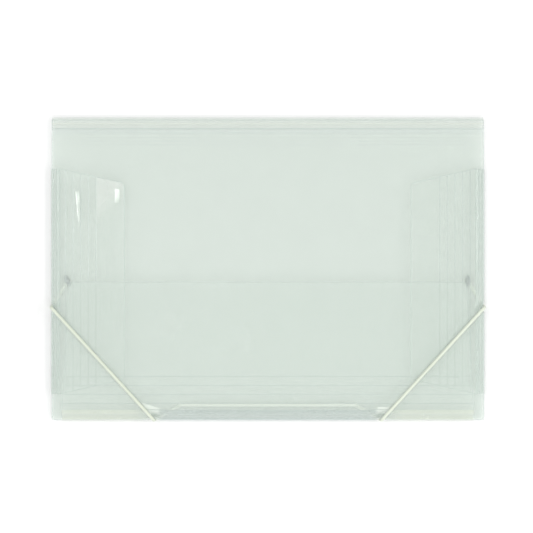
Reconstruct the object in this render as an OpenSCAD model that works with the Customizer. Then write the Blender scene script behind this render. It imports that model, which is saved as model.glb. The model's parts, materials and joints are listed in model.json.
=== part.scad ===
// A flat document case folded from one scored plastic sheet, lying on its back cover.
// X runs along the spine, +Y points to the spine, +Z out of the front cover.

/* [Case] */
// Width between the two side folds of the back cover
case_w = 329; // [322:1:345]
// Height from the spine fold to the bottom fold of the back cover
case_h = 230; // [226:1:245]
// Thickness of the plastic sheet
sheet_t = 0.6; // [0.4:0.05:0.7]
// Clear depth inside, between the back cover and the side flaps
inside_depth = 5.8; // [5.2:0.1:7]
// Rise from the middle of one closed layer to the middle of the next
layer_step = 1.05; // [1.05:0.05:1.3]
// How far the front cover stops short of the side folds
cover_inset = 1.3; // [1.1:0.1:3]
// Corner radius of the front and back covers
cover_corner_r = 4; // [2:0.5:8]

/* [Folds] */
// Angle of the closed spine panel over the back cover
spine_angle = 40; // [38:1:55]
// Angle of the closed side gussets over the back cover
side_angle = 52; // [48:1:60]
// Angle of the closed bottom gusset over the back cover
bottom_angle = 51; // [48:1:60]
// Radius of the bead along each fold line
bead_r = 0.6; // [0.45:0.05:0.65]
// Distance from a fold's axis to the panels beside it
fold_gap = 1; // [0.95:0.05:1.2]

/* [Flaps] */
// Width of a side flap, from its shoulder fold to its free edge
side_flap_w = 51; // [40:1:60]
// Upper end of a side flap at its fold, above the middle of the case
side_flap_top = 76; // [60:1:85]
// Lower end of a side flap at its fold, below the middle of the case
side_flap_low = 95; // [85:1:97]
// How much a side flap narrows at each end, from fold to free edge
side_flap_slant = 11; // [5:1:20]
// Distance of the bottom flap's free edge below the middle of the case
bottom_flap_edge = 10.3; // [5:0.1:40]
// How far the bottom flap stops short of the side folds
bottom_flap_inset = 8; // [7:0.5:15]
// How much the bottom flap narrows at each end, from fold to free edge
bottom_flap_slant = 5.5; // [0:0.5:20]
// Corner radius at the free edges of the flaps
flap_corner_r = 3; // [1:0.5:6]

/* [Score lines] */
// Width of a score line
score_w = 0.8; // [0.4:0.1:1.2]
// Depth of a score line
score_depth = 0.12; // [0.05:0.01:0.2]
// Score lines on each side flap
side_scores = 5; // [1:1:6]
// Spacing of the score lines on a side flap
side_score_step = 5.8; // [4:0.1:7]
// Score lines on the bottom flap
bottom_scores = 4; // [1:1:6]
// Spacing of the score lines on the bottom flap
bottom_score_step = 6.8; // [4:0.1:9]
// Score lines on the front cover beside the spine
cover_scores = 4; // [1:1:6]
// Spacing of the score lines on the front cover
cover_score_step = 2.7; // [2:0.1:4]

/* [Elastic cord] */
// Diameter of the elastic cord
cord_d = 2.5; // [1.8:0.1:3]
// Distance of each end hole from the middle, across the case
end_hole_x = 152.2; // [145:0.1:153]
// Distance of the end holes below the middle of the case
end_hole_drop = 9.3; // [5:0.1:20]
// Distance of each bottom hole from the middle, across the case
run_hole_x = 66.6; // [50:0.1:72]
// Distance of the bottom holes above the bottom fold
run_hole_up = 11.3; // [10:0.1:16]
// Where the cord wraps the side edge, below the middle of the case
side_wrap_drop = 29.3; // [26:0.1:45]
// Where the cord wraps the bottom edge, from the middle, across the case
bottom_wrap_x = 86.3; // [84:0.1:110]
// How far the cord stands out of the edge where it wraps round
wrap_proud = 1.2; // [1:0.1:2]
// Clearance round the cord in the notch that it presses into the edge
notch_clear = 0.2; // [0.15:0.05:0.4]
// Radius of the cord holes
hole_r = 1.6; // [1.55:0.05:2]

/* [End tags] */
// Length of the flat bar on a cord end
tag_l = 9; // [7:0.5:12]
// Width of the flat bar
tag_w = 3.2; // [2.6:0.1:4]
// Thickness of the flat bar
tag_t = 0.8; // [0.5:0.1:1.2]
// Height of the crimped cup on the bar
cup_h = 2.2; // [1.5:0.1:3]
// Outer radius of the crimped cup
cup_r = 1.9; // [1.8:0.1:2.2]

/* [Embossed field] */
// How far the embossed field of the back cover stands proud
field_t = 0.15; // [0.1:0.05:0.25]
// Distance of the field from the side folds
field_inset_x = 19; // [18:1:30]
// Distance of the field from the spine fold
field_inset_top = 11; // [8:1:20]
// Distance of the field from the bottom fold
field_inset_low = 17; // [16:1:25]

/* [Hidden] */
$fn = 64;
eps = 0.01;
half_w = case_w / 2;
half_h = case_h / 2;
cord_r = cord_d / 2;
// the bends are a little fuller than the straight cord
bend_r = cord_r + 0.03;
// gap between the front cover and the cord that crosses it
cord_rest_clear = 0.02;

// heights of the middle of each layer
z_cord = bend_r;
z_back = 2 * bend_r + bead_r;
z_side = z_back + sheet_t + inside_depth;
z_bottom = z_side + layer_step;
z_cover = z_bottom + layer_step;
z_front_cord = z_cover + sheet_t / 2 + bend_r + cord_rest_clear;
back_low = z_back - sheet_t / 2;
back_top = z_back + sheet_t / 2;
z_run = back_top + bend_r;

// each leaning panel: its length, and how far it leans inward
spine_len = (z_cover - z_back) / sin(spine_angle);
spine_lean = (z_cover - z_back) / tan(spine_angle);
side_len = (z_side - z_back) / sin(side_angle);
side_lean = (z_side - z_back) / tan(side_angle);
bottom_len = (z_bottom - z_back) / sin(bottom_angle);
bottom_lean = (z_bottom - z_back) / tan(bottom_angle);

// fold lines
cover_fold_y = half_h - spine_lean;
side_fold_x = half_w - side_lean;
bottom_fold_y = bottom_lean - half_h;
cover_half_w = half_w - cover_inset;
bottom_half_w = half_w - bottom_flap_inset;
side_mid_y = (side_flap_top - side_flap_low) / 2;
side_l = side_flap_top + side_flap_low;

// cord stations, given for the left side
end_hole = [-end_hole_x, -end_hole_drop];
run_hole = [-run_hole_x, run_hole_up - half_h];
wrap_out = wrap_proud - bend_r;
side_wrap = [-half_w - wrap_out, -side_wrap_drop];
bottom_wrap = [-bottom_wrap_x, -half_h - wrap_out];
// the leads stop this far before the wraps
lead_stop = 4;

// brings the middle of the bounding box to Y = 0
y_shift = (wrap_out + bend_r - bead_r) / 2;

sheet_colour = [0.85, 0.89, 0.86, 0.6];
back_colour = [0.8, 0.86, 0.84];
flap_colour = [0.76, 0.84, 0.84];
fold_colour = [0.92, 0.94, 0.88];
cord_colour = [0.93, 0.95, 0.9];
tag_colour = [0.45, 0.48, 0.52];

// ---- helpers ----

function unit(v) = v / norm(v);

// points of an arc of radius r that rounds the corner b between a and c
function corner_arc(a, b, c, r, steps = 6) =
    let (
        u = unit(a - b),
        v = unit(c - b),
        half = acos(u * v) / 2,
        centre = b + unit(u + v) * r / sin(half),
        start = b + u * r / tan(half) - centre,
        turn = 180 - 2 * half,
        side = u.x * v.y - u.y * v.x > 0 ? -1 : 1
    )
    [for (i = [0 : steps]) centre + turned(start, side * turn * i / steps)];

function turned(p, angle) = [
    p.x * cos(angle) - p.y * sin(angle),
    p.x * sin(angle) + p.y * cos(angle)
];

// an outline from corners given as [x, y, radius]; a radius of 0 stays sharp
function outline(corners) = [
    for (i = [0 : len(corners) - 1])
        let (
            n = len(corners),
            a = corners[(i + n - 1) % n],
            b = corners[i],
            c = corners[(i + 1) % n]
        )
        each b.z == 0 ? [[b.x, b.y]] : corner_arc([a.x, a.y], [b.x, b.y], [c.x, c.y], b.z)
];

// a sheet of the given outline, its middle at height 0
module sheet(corners) {
    linear_extrude(height = sheet_t, center = true) polygon(outline(corners));
}

// score lines across X, cut in the upper face, at step, 2 * step ... from the origin
module scores_across(count, step, length) {
    for (i = [1 : count])
        translate([0, i * step, sheet_t / 2]) cube([length, score_w, 2 * score_depth], center = true);
}

// a cord along points, full at each bend between its ends
module cord_path(points) {
    for (i = [1 : len(points) - 1]) cord_piece(points[i - 1], points[i]);
    for (i = [1 : len(points) - 2]) translate(points[i]) sphere(bend_r);
}

module cord_piece(from, to) {
    d = to - from;
    translate(from)
        rotate([0, acos(d.z / norm(d)), atan2(d.y, d.x)])
        cylinder(h = norm(d), r = cord_r);
}

function at_height(p, z) = [p.x, p.y, z];

// the point on the way from a hole to a wrap where a lead ends
function lead_end(hole, wrap) = at_height(wrap + unit(hole - wrap) * lead_stop, z_cord);

module placed(mirrored = false) {
    translate([0, y_shift, 0]) mirror([mirrored ? 1 : 0, 0, 0]) children();
}

// cuts the notches that the taut cord presses into the edges it wraps
module notched() {
    difference() {
        children();
        for (side = [-1, 1], wrap = [side_wrap, bottom_wrap])
            translate([side * wrap.x, wrap.y, 0]) cylinder(h = z_front_cord, r = bend_r + notch_clear);
    }
}

// ---- the leaning frames: X or Y runs up the panel from the rear fold ----

module side_frame() {
    translate([-half_w, side_mid_y, z_back]) rotate([0, -side_angle, 0]) children();
}

module bottom_frame() {
    translate([0, -half_h, z_back]) rotate([bottom_angle, 0, 0]) children();
}

module spine_frame() {
    translate([0, half_h, z_back]) rotate([180 - spine_angle, 0, 0]) children();
}

// a bead along X with a web that reaches back by fold_gap on the -Y side
module fold_line(length) {
    rotate([0, 90, 0]) cylinder(h = length, r = bead_r, center = true);
    translate([-length / 2, -fold_gap, -sheet_t / 3]) cube([length, fold_gap, sheet_t * 2 / 3]);
}

// ---- sheet panels ----

module back_cover() {
    w = half_w - fold_gap;
    h = half_h - fold_gap;
    color(back_colour) placed() notched() difference() {
        union() {
            translate([0, 0, z_back]) sheet([
                [-w, -h, cover_corner_r], [w, -h, cover_corner_r], [w, h, 0], [-w, h, 0]
            ]);
            embossed_field();
        }
        for (side = [-1, 1], hole = [end_hole, run_hole])
            translate([side * hole.x, hole.y, 0]) cylinder(h = z_side, r = hole_r);
    }
}

// the slightly raised field that the case lies on
module embossed_field() {
    x = half_w - field_inset_x;
    top = half_h - field_inset_top;
    low = field_inset_low - half_h;
    r = cover_corner_r;
    translate([0, 0, back_low - field_t])
        linear_extrude(height = field_t + sheet_t / 2)
        polygon(outline([[-x, low, r], [x, low, r], [x, top, r], [-x, top, r]]));
}

module spine_panel() {
    color(sheet_colour) placed() spine_frame() difference() {
        translate([-cover_half_w, fold_gap, -sheet_t / 2])
            cube([2 * cover_half_w, spine_len - 2 * fold_gap, sheet_t]);
        // the outer face of the leaning spine is the lower one in its own frame
        translate([0, spine_len / 2, -sheet_t / 2])
            cube([case_w, score_w, 2 * score_depth], center = true);
    }
}

module front_cover() {
    w = cover_half_w;
    top = -fold_gap;
    low = -half_h - cover_fold_y + cover_inset / 2;
    color(sheet_colour) placed() notched() translate([0, cover_fold_y, z_cover]) difference() {
        sheet([[-w, low, cover_corner_r], [w, low, cover_corner_r], [w, top, 0], [-w, top, 0]]);
        mirror([0, 1, 0]) scores_across(cover_scores, cover_score_step, case_w);
    }
}

module side_gusset() {
    color(sheet_colour) notched() side_frame()
        translate([fold_gap, -side_l / 2, -sheet_t / 2])
        cube([side_len - 2 * fold_gap, side_l, sheet_t]);
}

module side_flap() {
    w = side_flap_w;
    top = side_l / 2;
    r = flap_corner_r;
    color(flap_colour) translate([-side_fold_x, side_mid_y, z_side]) difference() {
        sheet([
            [fold_gap, -top, 0], [w, side_flap_slant - top, r],
            [w, top - side_flap_slant, r], [fold_gap, top, 0]
        ]);
        rotate(-90) scores_across(side_scores, side_score_step, side_l + 1);
    }
}

module left_gusset() {
    placed() side_gusset();
}

module right_gusset() {
    placed(mirrored = true) side_gusset();
}

module left_flap() {
    placed() side_flap();
}

module right_flap() {
    placed(mirrored = true) side_flap();
}

module bottom_gusset() {
    color(sheet_colour) placed() notched() bottom_frame()
        translate([-bottom_half_w, fold_gap, -sheet_t / 2])
        cube([2 * bottom_half_w, bottom_len - 2 * fold_gap, sheet_t]);
}

module bottom_flap() {
    w = bottom_half_w;
    top = -bottom_flap_edge - bottom_fold_y;
    r = flap_corner_r;
    color(flap_colour) placed() translate([0, bottom_fold_y, z_bottom]) difference() {
        sheet([
            [-w, fold_gap, 0], [w, fold_gap, 0],
            [w - bottom_flap_slant, top, r], [bottom_flap_slant - w, top, r]
        ]);
        scores_across(bottom_scores, bottom_score_step, case_w);
    }
}

// ---- fold lines ----

module spine_rear_fold() {
    color(fold_colour) placed() translate([0, half_h, z_back]) fold_line(2 * cover_half_w);
}

module side_rear_fold() {
    color(fold_colour) notched()
        translate([-half_w, side_mid_y, z_back]) rotate(90) fold_line(side_l);
}

module bottom_rear_fold() {
    color(fold_colour) placed() notched()
        translate([0, -half_h, z_back]) rotate(180) fold_line(2 * bottom_half_w);
}

module spine_cover_fold() {
    color(fold_colour) placed() spine_frame() translate([0, spine_len, 0]) fold_line(2 * cover_half_w);
}

module side_shoulder_fold() {
    color(fold_colour) side_frame() translate([side_len, 0, 0]) rotate(-90) fold_line(side_l);
}

module bottom_shoulder_fold() {
    color(fold_colour) placed() bottom_frame()
        translate([0, bottom_len, 0]) fold_line(2 * bottom_half_w);
}

module left_rear_fold() {
    placed() side_rear_fold();
}

module right_rear_fold() {
    placed(mirrored = true) side_rear_fold();
}

module left_shoulder_fold() {
    placed() side_shoulder_fold();
}

module right_shoulder_fold() {
    placed(mirrored = true) side_shoulder_fold();
}

// ---- elastic cord ----

// the run inside, which drops through a hole at each end
module elastic_inner_run() {
    color(cord_colour) placed() cord_path([
        at_height(run_hole, back_low),
        at_height(run_hole, z_run),
        [run_hole_x, run_hole.y, z_run],
        [run_hole_x, run_hole.y, back_low]
    ]);
}

// from the end tag down through the back cover and out to the side edge
module end_lead() {
    color(cord_colour) cord_path([
        at_height(end_hole, back_top + tag_t + cup_h / 2),
        at_height(end_hole, z_cord),
        lead_end(end_hole, side_wrap)
    ]);
}

// from the inner run down through the back cover and out to the bottom edge
module bottom_lead() {
    color(cord_colour) cord_path([
        at_height(run_hole, back_low),
        at_height(run_hole, z_cord),
        lead_end(run_hole, bottom_wrap)
    ]);
}

// round the side edge, across the corner of the front cover and round the bottom edge
module corner_strap() {
    color(cord_colour) cord_path([
        lead_end(end_hole, side_wrap),
        at_height(side_wrap, z_cord),
        at_height(side_wrap, z_front_cord),
        at_height(bottom_wrap, z_front_cord),
        at_height(bottom_wrap, z_cord),
        lead_end(run_hole, bottom_wrap)
    ]);
}

module left_end_lead() {
    placed() end_lead();
}

module right_end_lead() {
    placed(mirrored = true) end_lead();
}

module left_bottom_lead() {
    placed() bottom_lead();
}

module right_bottom_lead() {
    placed(mirrored = true) bottom_lead();
}

module left_corner_strap() {
    placed() corner_strap();
}

module right_corner_strap() {
    placed(mirrored = true) corner_strap();
}

// a flat bar with round ends that can't pull through the hole, and the cup crimped on the cord
module end_tag() {
    bore_r = cord_r + 0.05;
    straight = tag_l - tag_w;
    color(tag_colour) translate([end_hole.x, end_hole.y, back_top]) difference() {
        union() {
            linear_extrude(height = tag_t) {
                square([tag_w, straight], center = true);
                for (end = [-1, 1]) translate([0, end * straight / 2]) circle(d = tag_w);
            }
            cylinder(h = tag_t + cup_h, r = cup_r);
        }
        translate([0, 0, -eps]) cylinder(h = tag_t + cup_h * 0.7 + eps, r = bore_r);
    }
}

module left_end_tag() {
    placed() end_tag();
}

module right_end_tag() {
    placed(mirrored = true) end_tag();
}

back_cover();
spine_panel();
front_cover();
left_gusset();
right_gusset();
bottom_gusset();
left_flap();
right_flap();
bottom_flap();
spine_rear_fold();
left_rear_fold();
right_rear_fold();
bottom_rear_fold();
spine_cover_fold();
left_shoulder_fold();
right_shoulder_fold();
bottom_shoulder_fold();
elastic_inner_run();
left_end_lead();
right_end_lead();
left_bottom_lead();
right_bottom_lead();
left_corner_strap();
right_corner_strap();
left_end_tag();
right_end_tag();
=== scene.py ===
"""Looks of the document case: frosted sheets, living hinges and braided elastic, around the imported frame."""
import json
import math

import bpy
import bmesh
import numpy as np
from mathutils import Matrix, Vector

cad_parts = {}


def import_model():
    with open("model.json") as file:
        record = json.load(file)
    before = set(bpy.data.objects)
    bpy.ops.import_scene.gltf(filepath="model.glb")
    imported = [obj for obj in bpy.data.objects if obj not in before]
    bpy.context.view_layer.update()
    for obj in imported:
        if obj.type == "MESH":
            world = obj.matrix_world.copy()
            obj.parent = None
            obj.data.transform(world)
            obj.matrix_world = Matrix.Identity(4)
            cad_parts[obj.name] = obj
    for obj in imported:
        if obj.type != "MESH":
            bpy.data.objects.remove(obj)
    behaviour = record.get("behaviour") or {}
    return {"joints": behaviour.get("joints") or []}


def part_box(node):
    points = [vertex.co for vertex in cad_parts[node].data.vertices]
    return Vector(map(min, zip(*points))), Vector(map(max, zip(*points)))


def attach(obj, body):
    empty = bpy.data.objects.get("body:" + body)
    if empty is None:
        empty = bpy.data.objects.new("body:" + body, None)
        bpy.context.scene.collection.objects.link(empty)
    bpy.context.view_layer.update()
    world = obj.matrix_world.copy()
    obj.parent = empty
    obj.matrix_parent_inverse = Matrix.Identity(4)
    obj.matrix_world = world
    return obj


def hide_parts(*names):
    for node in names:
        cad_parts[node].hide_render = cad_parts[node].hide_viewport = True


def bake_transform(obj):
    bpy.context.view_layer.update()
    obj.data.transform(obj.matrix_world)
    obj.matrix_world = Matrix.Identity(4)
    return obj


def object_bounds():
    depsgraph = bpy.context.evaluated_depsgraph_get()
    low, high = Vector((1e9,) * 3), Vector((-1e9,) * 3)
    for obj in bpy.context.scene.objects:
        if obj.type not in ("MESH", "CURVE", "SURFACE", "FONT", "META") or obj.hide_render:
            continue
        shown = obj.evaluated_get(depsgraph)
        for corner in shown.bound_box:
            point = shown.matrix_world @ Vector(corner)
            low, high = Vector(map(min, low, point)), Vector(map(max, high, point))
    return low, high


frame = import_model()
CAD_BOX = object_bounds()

MM = 0.001
SHEET_T = 0.6 * MM
EDGE_CHAMFER = 0.12 * MM
HINGE_HALF = 1.8 * MM      # visible hinge strip, from its axis to the panel beside it
HINGE_T = 0.32 * MM        # thickness left at the bottom of the crease
SCORE_W = 0.9 * MM
SCORE_DEPTH = 0.06 * MM
RIM_W = 0.55 * MM          # polished margin along a sheet's free edges
WRAP_DENT = 1.42 * MM      # how far the cord pushes the edges of the case inward
WRAP_SPREAD = 2.3 * MM     # spread of that dent along the edge
EDGE_REACH = 9 * MM        # how far in from the edge the dent fades out
SHOULDER_SAG = 1.5 * MM    # how far the bottom shoulder sinks beside the cord
SAG_SPREAD = 7.5 * MM      # spread of that sag along the shoulder

JOINT = {j["name"]: j for j in frame["joints"]}
X, Y, Z = np.eye(3)


def fold_at(name):
    return np.array(JOINT[name]["pos_m"], float)


def unit(v):
    v = np.asarray(v, float)
    return v / np.linalg.norm(v)


def smooth(t):
    t = np.clip(t, 0, 1)
    return t * t * (3 - 2 * t)


REAR_SPINE, COVER_FOLD = fold_at("spine_fold"), fold_at("cover_fold")
REAR_LEFT, SHOULDER_LEFT = fold_at("left_gusset_fold"), fold_at("left_flap_fold")
REAR_BOTTOM, SHOULDER_BOTTOM = fold_at("bottom_gusset_fold"), fold_at("bottom_flap_fold")
MID_Y = REAR_LEFT[1]
HALF_W = -REAR_LEFT[0]
Z_BACK, Z_BOTTOM = REAR_SPINE[2], SHOULDER_BOTTOM[2]

# cord stations on the left side, the same route as in the part's source
CORD_R = 1.25 * MM
CORD_LINE = 1.28 * MM      # from the outside of the CAD cord in to its centre line
Z_CORD = CORD_LINE
END_HOLE = np.array([-152.2 * MM, MID_Y - 9.3 * MM])
RUN_HOLE = np.array([-66.6 * MM, REAR_BOTTOM[1] + 11.3 * MM])
SIDE_WRAP = np.array([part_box("left_corner_strap")[0].x + CORD_LINE, MID_Y - 29.3 * MM])
BOTTOM_WRAP = np.array([-86.3 * MM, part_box("left_corner_strap")[0].y + CORD_LINE])
Z_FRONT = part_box("left_corner_strap")[1].z - CORD_LINE

# ---------------------------------------------------------------- dents under the taut cord


def dented(points):
    """Pushes sheet points inward where the taut cord bites into the edges of the case."""
    p = np.array(points, float)
    for side in (-1, 1):
        depth = WRAP_DENT * np.exp(-((p[:, 1] - SIDE_WRAP[1]) / WRAP_SPREAD) ** 2)
        from_edge = HALF_W - side * p[:, 0]
        p[:, 0] += -side * depth * smooth(1 - from_edge / EDGE_REACH)
        depth = WRAP_DENT * np.exp(-((p[:, 0] + side * BOTTOM_WRAP[0]) / WRAP_SPREAD) ** 2)
        from_edge = p[:, 1] - REAR_BOTTOM[1]
        p[:, 1] += depth * smooth(1 - from_edge / EDGE_REACH)
        # the bottom shoulder sags beside the cord, down to the inner flap
        sag = SHOULDER_SAG * np.exp(-((p[:, 0] + side * (BOTTOM_WRAP[0] - 1.5 * MM)) / SAG_SPREAD) ** 2)
        over = smooth((p[:, 2] - Z_BACK) / (Z_BOTTOM - Z_BACK)) * (p[:, 2] < Z_BOTTOM + 0.7 * MM)
        p[:, 2] -= sag * over * smooth(1.25 - np.abs(from_edge - 5 * MM) / (7 * MM))
    return p


# ---------------------------------------------------------------- sheet panels


def lines_between(lo, hi, step, extra=()):
    """Grid lines from lo to hi about step apart, with extra lines put in and near doubles dropped."""
    base = list(np.linspace(lo, hi, max(2, int(round((hi - lo) / step)) + 1)))
    extra = sorted(e for e in extra if lo < e < hi)
    keep = [b for b in base if b in (lo, hi) or all(abs(b - e) > 0.45 * step for e in extra)]
    out = sorted(set(keep) | set(extra))
    return np.array([v for i, v in enumerate(out) if i == 0 or v - out[i - 1] > 1e-6])


def score_lines(centres):
    """Grid lines that give each score its groove and raised lips."""
    return [c + k * SCORE_W for c in centres for k in (-0.75, -0.5, -0.25, 0, 0.25, 0.5, 0.75)]


def score_height(b, centres):
    """Height over the sheet at b: a shallow groove at each centre with a raised lip at each side."""
    h = np.zeros_like(b)
    for c in centres:
        d = np.abs(b - c) / SCORE_W
        h += np.where(d < 0.4, -SCORE_DEPTH * (1 - (d / 0.4) ** 2), 0)
        h += np.where((d >= 0.4) & (d < 0.75), 0.35 * SCORE_DEPTH * np.sin((d - 0.4) / 0.35 * math.pi), 0)
    return h


def panel(name, place, half, b0, b1, mid=0.0, scores=(), corner_r=0.0, slant=0.0, fine_a=(), fine_b=(),
          height=None, round_low=False, step=3.2 * MM, flare=None, patch_mask=None):
    """A closed thin sheet on a structured grid.
    place is (origin, along, up, normal); the sheet runs mid +- half along the fold and b0..b1 up from it,
    narrowing by slant at each end on the way; its far corners (or its near ones too) are rounded.
    Material slots: 0 sheet, 1 score, 2 rim, 3 where the slot 3 mask is true: the back's hazier corners, the
    flaps' glints and painted highlights."""
    origin, along, up, normal = [np.asarray(v, float) for v in place]
    r = corner_r
    extra_a = [s * (half - r + r * k / 5) for s in (-1, 1) for k in range(6)] if r else []
    extra_a += [s * (half - RIM_W) for s in (-1, 1)]
    extra_a += [a - mid for a in fine_a]
    extra_b = [b1 - r + r * k / 5 for k in range(6)] if r else []
    if round_low:
        extra_b += [b0 + r - r * k / 5 for k in range(6)]
    extra_b += [b0 + RIM_W, b1 - RIM_W] + score_lines(scores) + list(fine_b)
    a_lines = lines_between(-half, half, step, extra_a)
    b_lines = lines_between(b0, b1, step, extra_b)
    na, nb = len(a_lines), len(b_lines)
    a, b = np.meshgrid(a_lines, b_lines, indexing="ij")
    a0, b0g = a.copy(), b.copy()
    if r:
        u = np.clip((np.abs(a) - (half - r)) / r, 0, 1)
        for end, sign, on in ((b1, 1, True), (b0, -1, round_low)):
            if not on:
                continue
            v = np.clip((sign * (b0g - end) + r) / r, 0, 1)
            both = (u > 0) & (v > 0)
            a = np.where(both, np.sign(a0) * (half - r + r * u * np.sqrt(1 - v * v / 2)), a)
            b = np.where(both, end - sign * r + sign * r * v * np.sqrt(1 - u * u / 2), b)
    a = a * (1 - slant / half * np.clip((b - b0) / (b1 - b0), 0, 1)) + mid
    if flare:
        a, b = flare(a, b)
    bend = height(a, b) if height else np.zeros_like(a)
    groove = score_height(b, scores)

    def world(a, b, h):
        return origin + a[..., None] * along + b[..., None] * up + h[..., None] * normal

    top = world(a, b, bend + SHEET_T / 2 + groove)
    low = world(a, b, bend - SHEET_T / 2)
    loop = ([(i, 0) for i in range(na)] + [(na - 1, j) for j in range(1, nb)]
            + [(i, nb - 1) for i in range(na - 2, -1, -1)] + [(0, j) for j in range(nb - 2, 0, -1)])
    la = np.array([a[i, j] for i, j in loop])
    lb = np.array([b[i, j] for i, j in loop])
    lh = np.array([bend[i, j] for i, j in loop])
    ta, tb = np.roll(la, -1) - np.roll(la, 1), np.roll(lb, -1) - np.roll(lb, 1)
    n = np.hypot(ta, tb)
    oa, ob = la + tb / n * EDGE_CHAMFER, lb - ta / n * EDGE_CHAMFER
    ring_top = world(oa, ob, lh + SHEET_T / 2 - EDGE_CHAMFER)
    ring_low = world(oa, ob, lh - SHEET_T / 2 + EDGE_CHAMFER)
    verts = np.concatenate([top.reshape(-1, 3), low.reshape(-1, 3), ring_top, ring_low])
    verts = dented(verts)
    idx = lambda i, j, k=0: k * na * nb + i * nb + j
    faces, mats = [], []
    for i in range(na - 1):
        for j in range(nb - 1):
            am, bm = (a_lines[i] + a_lines[i + 1]) / 2, (b_lines[j] + b_lines[j + 1]) / 2
            at_free_edge = half - abs(am) < RIM_W or b1 - bm < RIM_W or (round_low and bm - b0 < RIM_W)
            m = 1 if any(abs(bm - c) < SCORE_W / 2 for c in scores) else 2 if at_free_edge else 0
            if patch_mask and patch_mask(a[i:i + 2, j:j + 2].mean(), b[i:i + 2, j:j + 2].mean()):
                m = 3
            faces.append((idx(i, j), idx(i + 1, j), idx(i + 1, j + 1), idx(i, j + 1)))
            faces.append((idx(i, j, 1), idx(i, j + 1, 1), idx(i + 1, j + 1, 1), idx(i + 1, j, 1)))
            mats += [m, m if m > 1 else 0]
    base, count = 2 * na * nb, len(loop)
    for k in range(count):
        q = (k + 1) % count
        t0, t1 = idx(*loop[k]), idx(*loop[q])
        d0, d1 = idx(*loop[k], 1), idx(*loop[q], 1)
        r0, r1, s0, s1 = base + k, base + q, base + count + k, base + count + q
        faces += [(t0, r0, r1, t1), (r0, s0, s1, r1), (s0, d0, d1, s1)]
        mats += [2, 2, 2]
    return mesh_piece(name, verts, faces, mats)


def mesh_piece(name, verts, faces, mats=None, smooth_angle=40):
    """A linked object of those faces, smooth except over edges sharper than smooth_angle."""
    mesh = bpy.data.meshes.new(name)
    mesh.from_pydata([tuple(v) for v in verts], [], faces)
    mesh.validate()
    obj = bpy.data.objects.new(name, mesh)
    bpy.context.scene.collection.objects.link(obj)
    bm = bmesh.new()
    bm.from_mesh(mesh)
    if mats is not None:
        for f, m in zip(bm.faces, mats):
            f.material_index = m
    bmesh.ops.recalc_face_normals(bm, faces=bm.faces)
    limit = math.radians(smooth_angle)
    for f in bm.faces:
        f.smooth = True
    for e in bm.edges:
        if len(e.link_faces) == 2 and e.calc_face_angle(0) > limit:
            e.smooth = False
    bm.to_mesh(mesh)
    bm.free()
    return obj


def mirrored(obj, name):
    """The same sheet on the other side of the case."""
    copy = bpy.data.objects.new(name, obj.data.copy())
    copy.data.name = name
    bpy.context.scene.collection.objects.link(copy)
    bm = bmesh.new()
    bm.from_mesh(copy.data)
    for v in bm.verts:
        v.co.x = -v.co.x
    bmesh.ops.reverse_faces(bm, faces=bm.faces)
    bm.to_mesh(copy.data)
    bm.free()
    return copy


# ---------------------------------------------------------------- hinge strips


def hinge(name, axis_at, along, to_parent, to_child, half, mid=0.0, fine=()):
    """A scored crease: the sheet thins towards the fold's axis and rounds over it.
    Also returns where its bend starts, on the parent's side, and ends, on the child's."""
    d1, d2, run = unit(to_parent), unit(to_child), unit(along)
    across = unit(d2 - d1)
    out = -unit(d1 + d2)
    n1, n2 = unit(out - d1 * (out @ d1)), unit(out - d2 * (out @ d2))
    g, t = HINGE_HALF, SHEET_T / 2
    section = []
    for s in (1.0, 0.82, 0.62, 0.42, 0.2):
        section.append(d1 * g * s + n1 * t * (1 if s > 0.3 else 0.96))
    start = math.atan2(n1 @ across, n1 @ out)
    for k in range(1, 8):
        w = start * (1 - 2 * k / 8)
        section.append((out * math.cos(w) + across * math.sin(w)) * t * 0.97)
    for s in (0.2, 0.42, 0.62, 0.82, 1.0):
        section.append(d2 * g * s + n2 * t * (1 if s > 0.3 else 0.96))
    thin = lambda s: HINGE_T - t + (2 * t - HINGE_T) * smooth((s - 0.15) / 0.6)
    half_angle = math.acos(np.clip(d1 @ d2, -1, 1)) / 2
    for s in (1.0, 0.82, 0.62, 0.46):
        section.append(d2 * g * s - n2 * thin(s))
    section.append(-out * (HINGE_T - t) / max(math.sin(half_angle), 0.25))
    for s in (0.46, 0.62, 0.82, 1.0):
        section.append(d1 * g * s - n1 * thin(s))
    section = np.array(section)
    stations = lines_between(-half, half, 4 * MM, [f - mid for f in fine]) + mid
    rows = axis_at + stations[:, None, None] * run + section[None]
    count, m = len(stations), len(section)
    verts = dented(rows.reshape(-1, 3))
    faces = [(i * m + k, i * m + (k + 1) % m, (i + 1) * m + (k + 1) % m, (i + 1) * m + k)
             for i in range(count - 1) for k in range(m)]
    # the ends are closed between the outer path, the first 17 points, and the inner one
    for base in (0, (count - 1) * m):
        inner = [m - 1 - i for i in range(9)]
        faces += [tuple(base + v for v in f) for f in bridge(list(range(17)), inner)]
    obj = mesh_piece(name, verts, faces, smooth_angle=50)
    reach = 0.95 * (g * math.sin(half_angle) - t * math.cos(half_angle))
    return obj, axis_at - across * reach, axis_at + across * reach


def bridge(outer, inner):
    """Triangles between two open paths that run the same way."""
    out, i, j = [], 0, 0
    while i < len(outer) - 1 or j < len(inner) - 1:
        if j == len(inner) - 1 or (i < len(outer) - 1 and (i + 1) / len(outer) <= (j + 1) / len(inner)):
            out.append((outer[i], outer[i + 1], inner[j]))
            i += 1
        else:
            out.append((outer[i], inner[j + 1], inner[j]))
            j += 1
    return out


# ---------------------------------------------------------------- cord


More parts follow.
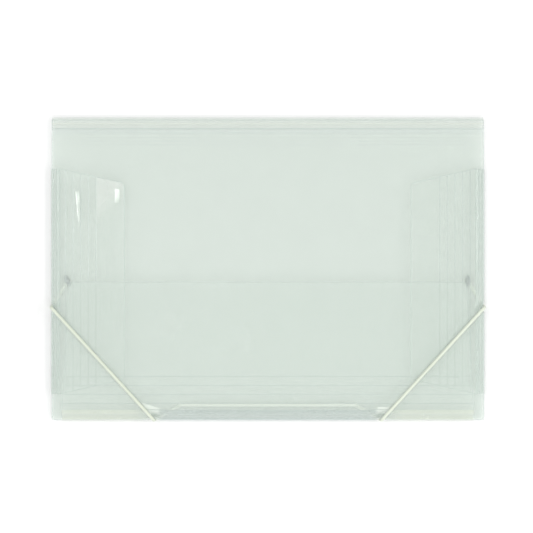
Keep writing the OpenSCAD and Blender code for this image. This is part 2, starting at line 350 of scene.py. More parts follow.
def rounded_path(points, radii, step=0.25 * MM):
    """The polyline with its corners rounded, resampled at even steps."""
    pts = [np.array(p, float) for p in points]
    path = [pts[0]]
    for i in range(1, len(pts) - 1):
        u, v = unit(pts[i - 1] - pts[i]), unit(pts[i + 1] - pts[i])
        room = 0.49 * min(np.linalg.norm(pts[i - 1] - pts[i]), np.linalg.norm(pts[i + 1] - pts[i]))
        turn = math.pi - math.acos(np.clip(u @ v, -1, 1))
        cut = min(radii[i - 1] * math.tan(turn / 2), room)
        for s in np.linspace(0, 1, 13):
            before, after = pts[i] + u * cut, pts[i] + v * cut
            path.append((1 - s) ** 2 * before + 2 * s * (1 - s) * pts[i] + s * s * after)
    path.append(pts[-1])
    path = np.array(path)
    gaps = np.linalg.norm(np.diff(path, axis=0), axis=1)
    keep = np.concatenate([[True], gaps > 1e-9])
    path = path[keep]
    run = np.concatenate([[0], np.cumsum(np.linalg.norm(np.diff(path, axis=0), axis=1))])
    at = np.linspace(0, run[-1], max(2, int(round(run[-1] / step)) + 1))
    return np.stack([np.interp(at, run, path[:, k]) for k in range(3)], axis=1), at


STRANDS = 7                # strands each way round the braid
STRAND_LAY = 0.42 * MM


def braided(name, points, radii, sides=28):
    """A round braided cord: two families of strands cross over a tube and leave small diamond bumps."""
    path, at = rounded_path(points, radii)
    tangent = np.gradient(path, axis=0)
    tangent /= np.linalg.norm(tangent, axis=1)[:, None]
    side = unit(np.cross(tangent[0], Z if abs(tangent[0][2]) < 0.9 else X))
    rings = []
    theta = np.arange(sides) * 2 * math.pi / sides
    for k, (p, t) in enumerate(zip(path, tangent)):
        side = unit(side - t * (side @ t))
        other = np.cross(t, side)
        wave = np.sin(STRANDS * theta + at[k] / STRAND_LAY) * np.sin(STRANDS * theta - at[k] / STRAND_LAY)
        r = CORD_R * (0.965 + 0.035 * wave)
        rings.append(p + (np.cos(theta)[:, None] * side + np.sin(theta)[:, None] * other) * r[:, None])
    n = len(rings)
    verts = np.concatenate(rings + [path[:1], path[-1:]])
    faces = [(i * sides + k, i * sides + (k + 1) % sides,
              (i + 1) * sides + (k + 1) % sides, (i + 1) * sides + k)
             for i in range(n - 1) for k in range(sides)]
    faces += [(k, n * sides, (k + 1) % sides) for k in range(sides)]
    last = (n - 1) * sides
    faces += [(last + k, last + (k + 1) % sides, n * sides + 1) for k in range(sides)]
    return mesh_piece(name, verts, faces, smooth_angle=70)


# ---------------------------------------------------------------- materials


class Nodes:
    """Short names for building a node tree."""

    def __init__(self, material):
        self.tree = material.node_tree
        self.tree.nodes.clear()

    def add(self, kind, **inputs):
        node = self.tree.nodes.new(kind)
        for key, value in inputs.items():
            if hasattr(node, key) and key not in node.inputs:
                setattr(node, key, value)
            else:
                self.put(node, key, value)
        return node

    def put(self, node, key, value):
        socket = node.inputs[key]
        if isinstance(value, bpy.types.NodeSocket):
            self.tree.links.new(value, socket)
        else:
            socket.default_value = value

    def math(self, operation, a, b=None):
        node = self.tree.nodes.new("ShaderNodeMath")
        node.operation = operation
        self.put(node, 0, a)
        if b is not None:
            self.put(node, 1, b)
        return node.outputs[0]

    def ramp(self, value, stops):
        node = self.tree.nodes.new("ShaderNodeValToRGB")
        ramp = node.color_ramp
        while len(ramp.elements) < len(stops):
            ramp.elements.new(0.5)
        for element, (at, v) in zip(ramp.elements, stops):
            element.position = at
            element.color = (v, v, v, 1) if isinstance(v, (int, float)) else (*v, 1)
        self.put(node, 0, value)
        return node.outputs[0]

    def mapped(self, scale, rotation=(0, 0, 0)):
        coords = self.tree.nodes.new("ShaderNodeTexCoord")
        node = self.tree.nodes.new("ShaderNodeMapping")
        node.inputs["Scale"].default_value = scale
        node.inputs["Rotation"].default_value = rotation
        self.tree.links.new(coords.outputs["Object"], node.inputs["Vector"])
        return node.outputs[0]

    def noise(self, scale, detail=2.0, vector=None):
        node = self.tree.nodes.new("ShaderNodeTexNoise")
        node.inputs["Scale"].default_value = scale
        node.inputs["Detail"].default_value = detail
        self.put(node, "Vector", vector if vector is not None else self.mapped((1, 1, 1)))
        return node.outputs[0]


def new_material(name):
    material = bpy.data.materials.new(name)
    material.use_nodes = True
    return material, Nodes(material)


def mix_colour(n, factor, a, b):
    node = n.tree.nodes.new("ShaderNodeMix")
    node.data_type = "RGBA"
    n.put(node, 0, factor)
    n.put(node, 6, (*a, 1) if isinstance(a, tuple) else a)
    n.put(node, 7, (*b, 1) if isinstance(b, tuple) else b)
    return node.outputs[2]


EMBOSS_PITCH = 1.52 * MM
BAND_END = 0.078           # metres from the middle, where the bottom band's tint starts turning paler and yellower
BAND_END_RATE = 40         # per metre, from there to the full tint of the ends
CLEAR = (0.672, 0.765, 0.692)


def frosted(name, alpha, colour=CLEAR, rough=0.30, emboss=1.0, spread=0.10, ends=None,
            zone=None, zone_colour=CLEAR, zone_gain=0.0):
    """Frosted embossed sheet: a grid of fine diamonds, faint cloudiness, smudges and hairline scratches.
    ends is a tint for both ends of the bottom band. zone(n, x, y) is 1 where the sheet is tinted zone_colour
    and made denser, or clearer, by zone_gain; on the left flap's corner and beside the cord's wraps that pale
    tint is a painted highlight."""
    material, n = new_material(name)
    coords = n.tree.nodes.new("ShaderNodeTexCoord").outputs["Object"]
    split = n.tree.nodes.new("ShaderNodeSeparateXYZ")
    n.tree.links.new(coords, split.inputs[0])
    k = 2 * math.pi / EMBOSS_PITCH
    lift = n.math("MULTIPLY", split.outputs[2], 0.7)
    wave_x = n.math("COSINE", n.math("MULTIPLY", n.math("ADD", split.outputs[0], lift), k))
    wave_y = n.math("COSINE", n.math("MULTIPLY", n.math("ADD", split.outputs[1], lift), k))
    diamonds = n.math("ADD", wave_x, wave_y)
    cloud = n.noise(9, 3)
    grain = n.noise(420, 2)
    smudge = n.noise(38, 4)
    streak = n.noise(1, 3, n.mapped((14, 900, 14), (0, 0, 0.5)))
    hairline = n.ramp(streak, [(0.66, 0.0), (0.69, 1.0)])
    tint = mix_colour(n, cloud, tuple(c * 0.975 for c in colour), tuple(min(1, c * 1.02) for c in colour))
    if ends:
        # the bottom band is tinted paler and yellower outside the two stretches of cord
        past = n.math("SUBTRACT", n.math("ABSOLUTE", split.outputs[0]), BAND_END)
        outward = n.math("MULTIPLY", past, BAND_END_RATE)
        outward = n.math("MINIMUM", n.math("MAXIMUM", outward, 0.0), 1.0)
        tint = mix_colour(n, outward, tint, ends)
    tint = mix_colour(n, n.math("MULTIPLY", grain, 0.12), tint, tuple(c * 0.9 for c in colour))
    inside = zone(n, split.outputs[0], split.outputs[1]) if zone else None
    if zone:
        # the zone tint, a painted highlight on the left flap and the bottom crease
        tint = mix_colour(n, inside, tint, zone_colour)
    roughness = n.math("ADD", n.math("MULTIPLY", smudge, 0.16), rough - 0.08)
    roughness = n.math("ADD", roughness, n.math("MULTIPLY", hairline, 0.12))
    height = n.math("ADD", n.math("MULTIPLY", diamonds, 0.5 * emboss), n.math("MULTIPLY", grain, 0.2))
    height = n.math("SUBTRACT", height, n.math("MULTIPLY", hairline, 0.15))
    bump = n.add("ShaderNodeBump", Strength=0.8, Distance=0.09 * MM, Height=height)
    uneven = n.math("MULTIPLY", n.math("ADD", cloud, smudge), spread)
    opacity = n.math("MULTIPLY", n.math("ADD", uneven, 1 - spread), alpha)
    if zone:
        opacity = n.math("MULTIPLY", opacity, n.math("ADD", n.math("MULTIPLY", inside, zone_gain), 1.0))
    shader = n.add("ShaderNodeBsdfPrincipled", Roughness=roughness, Normal=bump.outputs[0], Alpha=opacity)
    n.put(shader, "Base Color", tint)
    shader.inputs["IOR"].default_value = 1.55
    shader.inputs["Specular IOR Level"].default_value = 0.9
    shader.inputs["Coat Weight"].default_value = 0.6
    shader.inputs["Coat Roughness"].default_value = 0.16
    out = n.tree.nodes.new("ShaderNodeOutputMaterial")
    n.tree.links.new(shader.outputs[0], out.inputs[0])
    return material


def clamped(n, value):
    return n.math("MINIMUM", n.math("MAXIMUM", value, 0.0), 1.0)


def near_segment(n, x, y, a, b, radius, soft):
    """1 within radius of the segment a-b, falling to 0 over soft."""
    d = np.asarray(b) - np.asarray(a)
    px, py = n.math("SUBTRACT", x, float(a[0])), n.math("SUBTRACT", y, float(a[1]))
    along = n.math("ADD", n.math("MULTIPLY", px, float(d[0])), n.math("MULTIPLY", py, float(d[1])))
    t = clamped(n, n.math("DIVIDE", along, float(d @ d)))
    ex = n.math("SUBTRACT", px, n.math("MULTIPLY", t, float(d[0])))
    ey = n.math("SUBTRACT", py, n.math("MULTIPLY", t, float(d[1])))
    gap = n.math("SQRT", n.math("ADD", n.math("MULTIPLY", ex, ex), n.math("MULTIPLY", ey, ey)))
    return clamped(n, n.math("SUBTRACT", 1 + radius / soft, n.math("DIVIDE", gap, soft)))


def pressed_clear(n, x, y):
    """Where the cord presses on the back from outside, the frosting turns clear."""
    x = n.math("MULTIPLY", n.math("ABSOLUTE", x), -1.0)
    ends = near_segment(n, x, y, END_HOLE, SIDE_WRAP, 1.1 * MM, 0.5 * MM)
    low = near_segment(n, x, y, RUN_HOLE, BOTTOM_WRAP, 1.1 * MM, 0.5 * MM)
    return n.math("MAXIMUM", ends, low)


def beside_wraps_highlight(n, x, _):
    """The stretch of the bottom shoulder just inside each wrap of the cord, where the crease is painted near
    white as a highlight.
    """
    gap = n.math("ABSOLUTE", n.math("SUBTRACT", n.math("ABSOLUTE", x), -BOTTOM_WRAP[0] + 1.6 * MM))
    return clamped(n, n.math("SUBTRACT", 2.6, n.math("DIVIDE", gap, 2.6 * MM)))


def lifted_corner_sheen(n, x, y):
    """The upper free corner of the left flap, sprung up beyond a slanting crease; there the flap is painted
    near white and denser, a painted sheen.
    """
    b = n.math("SUBTRACT", x, float(SHOULDER_LEFT[0]))
    a = n.math("SUBTRACT", y, float(MID_Y))
    edge = clamped(n, n.math("DIVIDE", n.math("SUBTRACT", b, 28 * MM), 2.5 * MM))
    slope = clamped(n, n.math("DIVIDE", n.math("SUBTRACT", n.math("SUBTRACT", a, b), 0.4 * MM), 16 * MM))
    return n.math("MULTIPLY", edge, slope)


def cord_material(name, dull, clean):
    """Pale braided elastic: rubber showing faintly between nylon strands, a soft sheen and handling dirt."""
    material, n = new_material(name)
    fibre = n.noise(2600, 2)
    wear = n.noise(60, 4)
    pale = mix_colour(n, wear, dull, clean)
    tint = mix_colour(n, n.math("MULTIPLY", fibre, 0.25), pale, tuple(c * 0.76 for c in dull))
    height = n.math("ADD", fibre, n.math("MULTIPLY", n.noise(900, 3), 0.6))
    bump = n.add("ShaderNodeBump", Strength=0.5, Distance=0.05 * MM, Height=height)
    rough = n.math("ADD", n.math("MULTIPLY", fibre, 0.2), 0.5)
    shader = n.add("ShaderNodeBsdfPrincipled", Roughness=rough, Normal=bump.outputs[0])
    n.put(shader, "Base Color", tint)
    shader.inputs["Sheen Weight"].default_value = 0.4
    shader.inputs["Sheen Roughness"].default_value = 0.4
    out = n.tree.nodes.new("ShaderNodeOutputMaterial")
    n.tree.links.new(shader.outputs[0], out.inputs[0])
    return material


def tag_material():
    """Plain rolled steel with brushing along its length and dull patches."""
    material, n = new_material("rolled_steel")
    brush = n.noise(1, 3, n.mapped((5200, 420, 900)))
    dull = n.noise(700, 4)
    tint = mix_colour(n, dull, (0.25, 0.27, 0.28), (0.42, 0.44, 0.45))
    rough = n.math("ADD", n.math("MULTIPLY", brush, 0.22), 0.26)
    bump = n.add("ShaderNodeBump", Strength=0.4, Distance=0.02 * MM, Height=brush)
    shader = n.add("ShaderNodeBsdfPrincipled", Roughness=rough, Normal=bump.outputs[0], Metallic=0.85)
    n.put(shader, "Base Color", tint)
    out = n.tree.nodes.new("ShaderNodeOutputMaterial")
    n.tree.links.new(shader.outputs[0], out.inputs[0])
    return material


def floor_material():
    material, n = new_material("studio_floor")
    tone = mix_colour(n, n.noise(3, 2), (0.90, 0.90, 0.90), (0.93, 0.93, 0.93))
    shader = n.add("ShaderNodeBsdfPrincipled", Roughness=0.9)
    n.put(shader, "Base Color", tone)
    shader.inputs["Specular IOR Level"].default_value = 0.0
    out = n.tree.nodes.new("ShaderNodeOutputMaterial")
    n.tree.links.new(shader.outputs[0], out.inputs[0])
    return material


# ---------------------------------------------------------------- camera, lights and floor
scene = bpy.context.scene
scene.view_settings.view_transform = "Standard"
scene.view_settings.look = "None"
scene.cycles.transparent_max_bounces = 64

lo, hi = CAD_BOX
camera_data = bpy.data.cameras.new("camera")
camera = bpy.data.objects.new("camera", camera_data)
scene.collection.objects.link(camera)
scene.camera = camera
camera_data.sensor_width = 36
camera_data.lens = 300
VIEW_W = 1.2235 * (hi.x - lo.x)  # width of the picture at the height of the back cover
CAMERA_X, CAMERA_Y = -0.95 * MM, (lo.y + hi.y) / 2 + 2.0 * MM
camera.location = (CAMERA_X, CAMERA_Y, Z_BACK + VIEW_W * camera_data.lens / camera_data.sensor_width)
camera_data.clip_start, camera_data.clip_end = 0.1, 20


def light(name, at, aim, size, radiance, colour=(1, 1, 1)):
    """A soft panel of that size in metres, as bright as radiance, turned to aim."""
    data = bpy.data.lights.new(name, "AREA")
    data.shape = "RECTANGLE"
    data.size, data.size_y = size
    data.energy = radiance * math.pi * size[0] * size[1]
    data.color = colour
    obj = bpy.data.objects.new(name, data)
    scene.collection.objects.link(obj)
    obj.location = at
    direction = Vector(aim) - Vector(at)
    obj.rotation_euler = direction.to_track_quat("-Z", "Y").to_euler()
    obj.visible_camera = False
    return obj


world = bpy.data.worlds.new("studio")
scene.world = world
world.use_nodes = True
world.node_tree.nodes["Background"].inputs[0].default_value = (1, 1, 1, 1)
world.node_tree.nodes["Background"].inputs[1].default_value = 0.676
light("front_box", (0.0, -0.80, 1.3), (0, 0, 0), (1.6, 0.55), 2.4)
light("left_strip", (-0.95, 0.15, 1.15), (-0.1, 0.05, 0), (1.0, 0.10), 3.7)
light("left_box", (-0.50, 0.10, 1.5), (0, 0, 0), (0.20, 0.36), 14)
light("right_strip", (1.0, -0.1, 1.15), (0, 0, 0), (1.2, 0.10), 16.5)

floor_mesh = bpy.data.meshes.new("floor")
S = 5.0                    # half the floor's side
floor_mesh.from_pydata([(-S, -S, 0), (S, -S, 0), (S, S, 0), (-S, S, 0)], [], [(0, 1, 2, 3)])
floor = bpy.data.objects.new("floor", floor_mesh)
scene.collection.objects.link(floor)
floor.data.materials.append(floor_material())

# ---------------------------------------------------------------- the sheets
MAT = {
    "cover": frosted("sheet_cover", 0.145),
    "back": frosted("sheet_back", 0.225, zone=pressed_clear, zone_gain=-0.8),
    "flap": frosted("sheet_flap", 0.10, colour=(0.83, 0.91, 0.845)),
    "low_flap": frosted("sheet_bottom_flap", 0.135, colour=(0.80, 0.885, 0.82)),
    # painted sheen: the left flap's lifted corner is tinted near white and made denser, standing in for its
    # reflection of the lamps
    "left_flap": frosted("sheet_left_flap", 0.10, colour=(0.83, 0.91, 0.845), zone=lifted_corner_sheen,
                         zone_colour=(0.97, 0.99, 0.95), zone_gain=1.6),
    "gusset": frosted("sheet_gusset", 0.19, colour=(0.72, 0.805, 0.745)),
    "spine": frosted("sheet_spine", 0.10, colour=(0.84, 0.905, 0.825)),
    "spine_fold": frosted("spine_crease", 0.16, colour=(0.80, 0.87, 0.81), rough=0.16, emboss=0.0),
    "cover_fold": frosted("cover_crease", 0.19, colour=(0.69, 0.78, 0.74), rough=0.16, emboss=0.0),
    "cover_score": frosted("cover_score", 0.22, colour=(0.64, 0.72, 0.68), rough=0.2, emboss=0.15),
    "soft_rim": frosted("flap_rim", 0.30, colour=(0.66, 0.74, 0.70), rough=0.22, emboss=0.0),
    "band": frosted("sheet_bottom_band", 0.32, colour=(0.56, 0.63, 0.62), ends=(0.80, 0.84, 0.72)),
    # painted highlight: beside each wrap of the cord the bottom crease is tinted near white and made denser
    "band_fold": frosted("bottom_crease", 0.41, colour=(0.54, 0.61, 0.60), ends=(0.86, 0.89, 0.76),
                         rough=0.16, emboss=0.0, zone=beside_wraps_highlight, zone_colour=(0.95, 0.98, 0.94),
                         zone_gain=0.25),
    "score": frosted("sheet_score", 0.30, colour=(0.56, 0.64, 0.62), rough=0.18, emboss=0.15),
    # painted highlight: the pale yellow, dense sheet on the spine's middle score stands in for a reflection of
    # the lamps
    "stress": frosted("stressed_score", 0.45, colour=(0.84, 0.88, 0.77), rough=0.2, emboss=0.0),
    "rim": frosted("sheet_rim", 0.45, colour=(0.64, 0.72, 0.68), rough=0.22, emboss=0.0),
    "edge_haze": frosted("sheet_edge", 0.27, colour=(0.66, 0.75, 0.69)),
    # painted highlight: a near-white, dense sheet for the bottom flap's patches beside the cord
    "rubbed": frosted("rubbed_bottom", 0.52, colour=(0.94, 0.98, 0.91), rough=0.2, emboss=0.0),
    # glossy sheet for the left flap's glints, made dense as well, which paints them brighter: a real glint
    # with a painted highlight
    "polish": frosted("rubbed_sheet", 0.60, colour=(0.78, 0.85, 0.78), rough=0.13, emboss=0.0),
    "fold": frosted("fold_crease", 0.37, colour=(0.62, 0.71, 0.66), rough=0.16, emboss=0.0),
}
CORD = cord_material("braided_elastic", (0.65, 0.70, 0.585), (0.73, 0.785, 0.67))
# painted light: the leads and the inner run under the back get a near-white cord, brighter than the strap, in
# place of light the frosted sheets scatter onto them
PAINTED_BRIGHT_CORD = cord_material("braided_elastic_clean", (0.93, 0.96, 0.86), (0.96, 0.98, 0.92))
TAG = tag_material()


def dress(obj, *keys):
    for k in keys:
        obj.data.materials.append(MAT[k] if isinstance(k, str) else k)
    return obj


def fine_at(values, width=9 * MM, step=1.0 * MM):
    return [v + d for v in values for d in np.arange(-width, width + step / 2, step)]


WRAP_X = [BOTTOM_WRAP[0], -BOTTOM_WRAP[0]]
WRAP_Y = [SIDE_WRAP[1]]

# back cover
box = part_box("back_cover")
half_x = -box[0].x - 0.8 * MM
back_low_y, back_high_y = box[0].y + 0.8 * MM, box[1].y - 0.8 * MM


def back_height(a, b):
    return 0.05 * MM * np.sin(a / (41 * MM)) * np.cos(b / (37 * MM))


side_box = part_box("left_gusset")
side_mid = (side_box[0].y + side_box[1].y) / 2
side_half = (side_box[1].y - side_box[0].y) / 2
bottom_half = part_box("bottom_gusset")[1].x
OUTLINE_GROW = HINGE_HALF - 0.3 * MM
BARE_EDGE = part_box("front_cover")[1].x + 0.2 * MM  # about where the cover ends over the back


def back_flare(a, b):
    """Where no fold runs along an edge, the sheet itself reaches the outline of the case."""
    past_side = smooth((np.abs(b - side_mid) - side_half - 0.2 * MM) / (0.8 * MM))
    past_bottom = smooth((np.abs(a) - bottom_half - 0.2 * MM) / (0.8 * MM))
    near_side = smooth(1 - (half_x - np.abs(a)) / (6 * MM))
    near_bottom = smooth(1 - (b - back_low_y) / (6 * MM))
    return (a + np.sign(a) * OUTLINE_GROW * near_side * past_side,
            b - OUTLINE_GROW * near_bottom * past_bottom)


def at_corner(a, b):
    """The back's corners: past the ends of the cover at the top, of the bottom gusset at the bottom."""
    reach = BARE_EDGE if b > side_mid else bottom_half + 0.3 * MM
    return abs(b - side_mid) > side_half and abs(a) > reach


jog = [k * 0.25 * MM for k in range(-1, 6)]
back = panel("back_sheet", ((0, 0, Z_BACK), X, Y, Z), half_x, back_low_y, back_high_y, flare=back_flare,
             fine_a=fine_at(WRAP_X) + [s * (bottom_half + j) for s in (-1, 1) for j in jog]
             + [-BARE_EDGE, BARE_EDGE],
             fine_b=fine_at(WRAP_Y) + fine_at([END_HOLE[1]], 5 * MM)
             + [side_mid + s * (side_half + j) for s in (-1, 1) for j in jog],
             height=back_height, patch_mask=at_corner)
dress(back, "back", "score", "rim", "edge_haze")
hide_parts("back_cover")


def drill(obj, holes, radius):
    """Cuts round holes through a sheet."""
    cutters = []
    for x, y in holes:
        bm = bmesh.new()
        bmesh.ops.create_cone(bm, cap_ends=True, segments=32, radius1=radius, radius2=radius, depth=6 * MM)
        mesh = bpy.data.meshes.new("cutter")
        bm.to_mesh(mesh)
        bm.free()
        cutter = bpy.data.objects.new("cutter", mesh)
        scene.collection.objects.link(cutter)
        cutter.location = (x, y, Z_BACK)
        cutters.append(cutter)
    for cutter in cutters:
        m = obj.modifiers.new("hole", "BOOLEAN")
        m.operation, m.solver, m.object = "DIFFERENCE", "EXACT", cutter
    bpy.context.view_layer.update()
    evaluated = obj.evaluated_get(bpy.context.evaluated_depsgraph_get())
    mesh = bpy.data.meshes.new_from_object(evaluated)
    obj.modifiers.clear()
    obj.data = mesh
    for cutter in cutters:
        bpy.data.objects.remove(cutter)


drill(back, [(s * h[0], h[1]) for s in (-1, 1) for h in (END_HOLE, RUN_HOLE)], 1.6 * MM)
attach(back, "back")

# spine
spine_up = unit(COVER_FOLD - REAR_SPINE)
spine_len = np.linalg.norm(COVER_FOLD - REAR_SPINE)
spine_out = np.cross(X, spine_up)
spine_out = spine_out if spine_out[2] > 0 else -spine_out
cover_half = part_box("front_cover")[1].x + 0.7 * MM
spine = panel("spine_sheet", (REAR_SPINE, X, spine_up, spine_out), cover_half, HINGE_HALF,
              spine_len - HINGE_HALF, scores=[spine_len * 0.5], step=3 * MM)
# the spine's middle score carries that painted highlight
dress(spine, "spine", "stress", "rim")
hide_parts("spine_panel")
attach(spine, "spine")

# front cover
cover_len = COVER_FOLD[1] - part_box("front_cover")[0].y + 0.4 * MM


def cover_height(a, b):
    x, y = a / cover_half, 2 * b / cover_len - 1
    bow = 0.7 * MM * (1 - x ** 2) ** 2 * (1 - y ** 2) ** 1.5
    return bow + 0.06 * MM * np.sin(a / (33 * MM) + 1.1) * np.sin(b / (29 * MM)) * (1 - x ** 2)


cover = panel("cover_sheet", (COVER_FOLD, X, -Y, Z), cover_half, HINGE_HALF, cover_len,
              scores=[(k + 1) * 2.7 * MM for k in range(4)], corner_r=2.6 * MM,
              fine_a=fine_at(WRAP_X), fine_b=fine_at([COVER_FOLD[1] - WRAP_Y[0]]), height=cover_height)
dress(cover, "cover", "cover_score", "rim")
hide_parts("front_cover")
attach(cover, "cover")

# side gussets and flaps
side_up = unit(SHOULDER_LEFT - REAR_LEFT)
side_len = np.linalg.norm(SHOULDER_LEFT - REAR_LEFT)
side_out = np.array([-side_up[2], 0, side_up[0]])
left_gusset = panel("left_gusset_sheet", (REAR_LEFT * [1, 0, 1], Y, side_up, side_out), side_half, HINGE_HALF,
                    side_len - HINGE_HALF, mid=side_mid, fine_a=fine_at(WRAP_Y), step=2.5 * MM)
flap_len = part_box("left_flap")[1].x - SHOULDER_LEFT[0]


def plain_flap_height(a, b):
    return 0.05 * MM * np.sin(a / (19 * MM)) * (b / flap_len)


# the left flap's marks: a sprung crease, the free corner lifted with it and a bump in its far edge
RIDGE_TOP, RIDGE_END, RIDGE_B = 58.5 * MM, 34.0 * MM, 16.6 * MM
RIDGE_W, RIDGE_SLOPE = 3.1 * MM, 0.16
LIFT_LOW, LIFT_HIGH, LIFT = 30.0 * MM, 66.0 * MM, 0.5 * MM
TIP_LOW, TIP_HIGH, TIP_IN, TIP_LIFT = 49 * MM, 65 * MM, 7.5 * MM, 0.62 * MM


def ridge_width(a):
    """Width of the sprung crease between two scores: full at its upper end, pointed at its lower end."""
    u = np.clip((a - RIDGE_END) / (RIDGE_TOP - RIDGE_END), 0, 1)
    return RIDGE_W * u ** 0.6 * smooth((RIDGE_TOP + 1.5 * MM - a) / (1.5 * MM))


def curl(a, b):
    """How far a point lies along the flap's lifted corner: 0 outside its crease, 1 at the free corner."""
    crease = 20 * MM + np.clip(LIFT_HIGH - 9 * MM - a, 0, None) * 0.42
    along = smooth((a - LIFT_LOW) / (10 * MM)) * (a < LIFT_HIGH + 12 * MM)
    return np.clip((b - crease) / (flap_len - crease), 0, 1) * along


def left_flap_height(a, b):
    w = ridge_width(a)
    rise = np.clip((b - (RIDGE_B - w)) / np.maximum(w, 1e-6), 0, 1)
    fall = smooth(1 - (b - RIDGE_B) / (2.4 * MM))
    ridge = RIDGE_SLOPE * w * rise * np.where(b > RIDGE_B, fall, 1)
    tip = np.clip((b - (flap_len - TIP_IN)) / (4 * MM), 0, 1)
    tip *= smooth((a - TIP_LOW) / (4 * MM)) * smooth((TIP_HIGH - a) / (4 * MM))
    return plain_flap_height(a, b) + ridge + LIFT * curl(a, b) + TIP_LIFT * tip


def left_flap_glints(a, b):
    """The two places on the left flap that shine: its sprung crease and a spot by the free corner. There the
    sheet is glossier, a real glint of the left lamp, and much denser, which paints it brighter as a painted
    highlight.
    """
    w = float(ridge_width(a))
    on_ridge = w > 0.5 * MM and RIDGE_B - w < b < RIDGE_B
    far_side = flap_len - 3.6 * MM - (61 * MM - a) * 0.1
    on_tip = 50.5 * MM < a < 61 * MM and flap_len - TIP_IN < b < far_side
    return on_ridge or on_tip


flap_scores = [(k + 1) * 5.8 * MM for k in range(5)]
flap_args = dict(mid=side_mid, scores=flap_scores, slant=11 * MM, corner_r=3 * MM)
left_flap = panel("left_flap_sheet", (SHOULDER_LEFT * [1, 0, 1], Y, X, Z), side_half, HINGE_HALF, flap_len,
                  height=left_flap_height, patch_mask=left_flap_glints,
                  fine_a=list(np.arange(30, 66, 1.0) * MM),
                  fine_b=list(np.arange(13, 19.2, 0.5) * MM) + list(np.arange(42, 50, 0.7) * MM), **flap_args)
flap_form = panel("flap_form", (SHOULDER_LEFT * [1, 0, 1], Y, X, Z), side_half, HINGE_HALF, flap_len,
                  height=plain_flap_height, **flap_args)
right_flap = mirrored(flap_form, "right_flap_sheet")
bpy.data.objects.remove(flap_form)
right_gusset = mirrored(left_gusset, "right_gusset_sheet")
for side, g, f in (("left", left_gusset, left_flap), ("right", right_gusset, right_flap)):
    dress(g, "gusset", "score", "rim")
    dress(f, "left_flap" if f is left_flap else "flap", "score", "rim", "polish")
    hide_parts(f"{side}_gusset")
    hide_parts(f"{side}_flap")
    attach(g, f"{side}_gusset")
    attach(f, f"{side}_flap")

# bottom gusset and flap
bottom_up = unit(SHOULDER_BOTTOM - REAR_BOTTOM)
bottom_len = np.linalg.norm(SHOULDER_BOTTOM - REAR_BOTTOM)
bottom_out = np.array([0, -bottom_up[2], bottom_up[1]])
bottom_gusset = panel("bottom_gusset_sheet", (REAR_BOTTOM, X, bottom_up, bottom_out), bottom_half, HINGE_HALF,
                      bottom_len - HINGE_HALF, fine_a=fine_at(WRAP_X), step=2.5 * MM)
bottom_flap_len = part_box("bottom_flap")[1].y - SHOULDER_BOTTOM[1]


def bottom_flap_height(a, b):
    return 0.05 * MM * np.sin(a / (27 * MM)) * np.sin(b / (24 * MM))


def bottom_flap_highlight(a, b):
    """Small patches beside the cord, on the sagging shoulder, where the flap is painted near white and dense:
    a painted highlight.
    """
    left = -95 * MM < a < -81 * MM and 2.2 * MM < b < 2.2 * MM + (a + 95 * MM) * -0.35 + 5.2 * MM
    right = 83 * MM < a < 92.5 * MM and 2.2 * MM < b < 4.2 * MM
    return left or right


bottom_flap = panel("bottom_flap_sheet", (SHOULDER_BOTTOM, X, Y, Z), bottom_half, HINGE_HALF, bottom_flap_len,
                    scores=[(k + 1) * 6.8 * MM for k in range(4)], slant=5.5 * MM, corner_r=3 * MM,
                    fine_a=fine_at(WRAP_X, 16 * MM), fine_b=list(np.arange(2.5, 10, 0.8) * MM),
                    height=bottom_flap_height, patch_mask=bottom_flap_highlight)
dress(bottom_gusset, "band", "score", "rim")
# slot 3 of the bottom flap is its painted highlight beside the cord
dress(bottom_flap, "low_flap", "score", "soft_rim", "rubbed")
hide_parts("bottom_gusset")
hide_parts("bottom_flap")
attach(bottom_gusset, "bottom_gusset")
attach(bottom_flap, "bottom_flap")

# ---------------------------------------------------------------- hinges


def strip(name, node, axis_at, along, to_parent, to_child, half, mid=0.0, fine=(),
          finish="fold"):
    """A hinge strip in place of a CAD fold, bending from the parent body to the child."""
    obj, start, end = hinge(name, axis_at, along, to_parent, to_child, half, mid, fine)
    dress(obj, finish)
    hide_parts(node)
    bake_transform(obj)
    return obj


FINE_X, FINE_Y = fine_at(WRAP_X), fine_at(WRAP_Y)
strip("spine_rear_hinge", "spine_rear_fold", REAR_SPINE, X, -Y, spine_up, cover_half,
      finish="spine_fold")
strip("spine_cover_hinge", "spine_cover_fold", COVER_FOLD, X, -spine_up, -Y, cover_half,
      finish="cover_fold")
strip("bottom_rear_hinge", "bottom_rear_fold", REAR_BOTTOM, X,
      Y, bottom_up, bottom_half, fine=FINE_X, finish="band_fold")
strip("bottom_shoulder_hinge", "bottom_shoulder_fold", SHOULDER_BOTTOM, X,
      -bottom_up, Y, bottom_half, fine=FINE_X, finish="band_fold")
for side, s in (("left", 1), ("right", -1)):
    flip = np.array([s, 1, 1])
    strip(f"{side}_rear_hinge", f"{side}_rear_fold",
          REAR_LEFT * [s, 0, 1], Y, X * s, side_up * flip, side_half, mid=side_mid, fine=FINE_Y)
    strip(f"{side}_shoulder_hinge", f"{side}_shoulder_fold",
          SHOULDER_LEFT * [s, 0, 1], Y, -side_up * flip, X * s, side_half, mid=side_mid, fine=FINE_Y)

# ---------------------------------------------------------------- cord


def at(p, z):
    return np.array([p[0], p[1], z])


def lead_end(hole, wrap, back_off=4 * MM):
    return wrap + unit(hole - wrap) * back_off


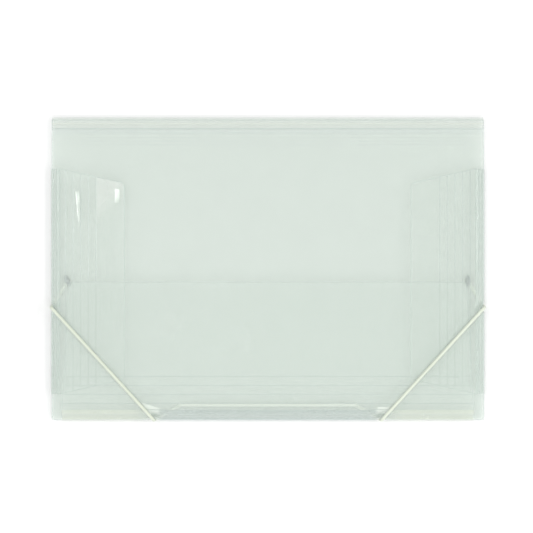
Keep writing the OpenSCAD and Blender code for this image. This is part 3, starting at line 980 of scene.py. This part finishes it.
run_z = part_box("elastic_inner_run")[1].z - CORD_LINE
cup_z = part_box("left_end_tag")[1].z - 1.0 * MM
for side, s in (("left", 1), ("right", -1)):
    m = np.array([s, 1, 1])
    w = np.array([s, 1])
    end_hole, run_hole, side_wrap, bottom_wrap = END_HOLE * w, RUN_HOLE * w, SIDE_WRAP * w, BOTTOM_WRAP * w
    e1, e2 = lead_end(end_hole, side_wrap), lead_end(run_hole, bottom_wrap)
    lead = braided(f"{side}_end_cord", [at(end_hole, cup_z), at(end_hole, Z_CORD), at(e1, Z_CORD)],
                   [2.2 * MM])
    tail = braided(f"{side}_bottom_cord", [at(run_hole, Z_BACK), at(run_hole, Z_CORD), at(e2, Z_CORD)],
                   [1.9 * MM])
    strap = braided(f"{side}_strap_cord", [at(e1, Z_CORD), at(side_wrap, Z_CORD), at(side_wrap, Z_FRONT),
                                           at(bottom_wrap, Z_FRONT), at(bottom_wrap, Z_CORD), at(e2, Z_CORD)],
                    [2.0 * MM] * 4)
    for obj, node in ((lead, f"{side}_end_lead"), (tail, f"{side}_bottom_lead"),
                      (strap, f"{side}_corner_strap")):
        # the leads get the cord painted brighter than the strap
        dress(obj, CORD if obj is strap else PAINTED_BRIGHT_CORD)
        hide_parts(node)
    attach(lead, "back")
    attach(tail, "back")
    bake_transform(strap)
run = braided("inner_run_cord", [at(RUN_HOLE, Z_BACK), at(RUN_HOLE, run_z), at(RUN_HOLE * [-1, 1], run_z),
                                 at(RUN_HOLE * [-1, 1], Z_BACK)], [1.9 * MM] * 2)
# the inner run gets the cord painted brighter than the strap
dress(run, PAINTED_BRIGHT_CORD)
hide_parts("elastic_inner_run")
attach(run, "back")

# ---------------------------------------------------------------- end tags


def lathe_rings(profile, centre, sides=40):
    return [centre + np.stack([r * np.cos(np.arange(sides) * 2 * math.pi / sides),
                               r * np.sin(np.arange(sides) * 2 * math.pi / sides),
                               np.full(sides, z)], axis=1) for r, z in profile]


def tag(name, centre, base_z, tilt):
    """A stamped bar with rolled edges and round ends, and the crimped cup standing on it."""
    length, width, thick, cup_r, cup_h = 9 * MM, 3.2 * MM, 0.8 * MM, 1.9 * MM, 2.2 * MM
    verts, faces = [], []
    sides = 48

    def stadium(inset, z):
        r = width / 2 - inset
        ring = []
        for k in range(sides):
            a = 2 * math.pi * k / sides
            end = (length - width) / 2 * (1 if math.sin(a) >= 0 else -1)
            ring.append((r * math.cos(a), r * math.sin(a) + end, z))
        return np.array(ring)

    def add(rings, cap_low=True, cap_high=True):
        base = len(verts)
        n = len(rings[0])
        for ring in rings:
            verts.extend(ring)
        for i in range(len(rings) - 1):
            for k in range(n):
                q = (k + 1) % n
                low, high = base + i * n, base + (i + 1) * n
                faces.append((low + k, low + q, high + q, high + k))
        if cap_low:
            faces.append(tuple(base + k for k in reversed(range(n))))
        if cap_high:
            faces.append(tuple(base + (len(rings) - 1) * n + k for k in range(n)))

    e = 0.22 * MM
    bar = [stadium(e, 0), stadium(0.3 * e, 0.3 * e), stadium(0, e), stadium(0, thick - e),
           stadium(0.3 * e, thick - 0.3 * e), stadium(e, thick)]
    add(bar)
    top = thick + cup_h
    cup = [(cup_r + 0.15 * MM, thick - 0.15 * MM), (cup_r, thick + 0.2 * MM),
           (cup_r * 0.97, thick + 0.7 * MM), (cup_r * 0.88, thick + 1.1 * MM),
           (cup_r * 0.95, thick + 1.5 * MM), (cup_r, top - 0.35 * MM),
           (cup_r * 0.93, top - 0.1 * MM), (cup_r * 0.75, top), (cup_r * 0.4, top + 0.01 * MM)]
    add(lathe_rings(cup, np.zeros(3)))
    verts_np = np.array(verts)
    c, s = math.cos(tilt), math.sin(tilt)
    x, y, z = verts_np.T
    turned = np.stack([x * c - y * s, x * s + y * c, z], 1)
    return mesh_piece(name, turned + [centre[0], centre[1], base_z], faces, smooth_angle=50)


for side, s, tilt in (("left", 1, 0.35), ("right", -1, 0.0)):
    node = f"{side}_end_tag"
    piece = tag(f"{side}_tag", END_HOLE * [s, 1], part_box(node)[0].z, tilt)
    dress(piece, TAG)
    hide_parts(node)
    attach(piece, "back")
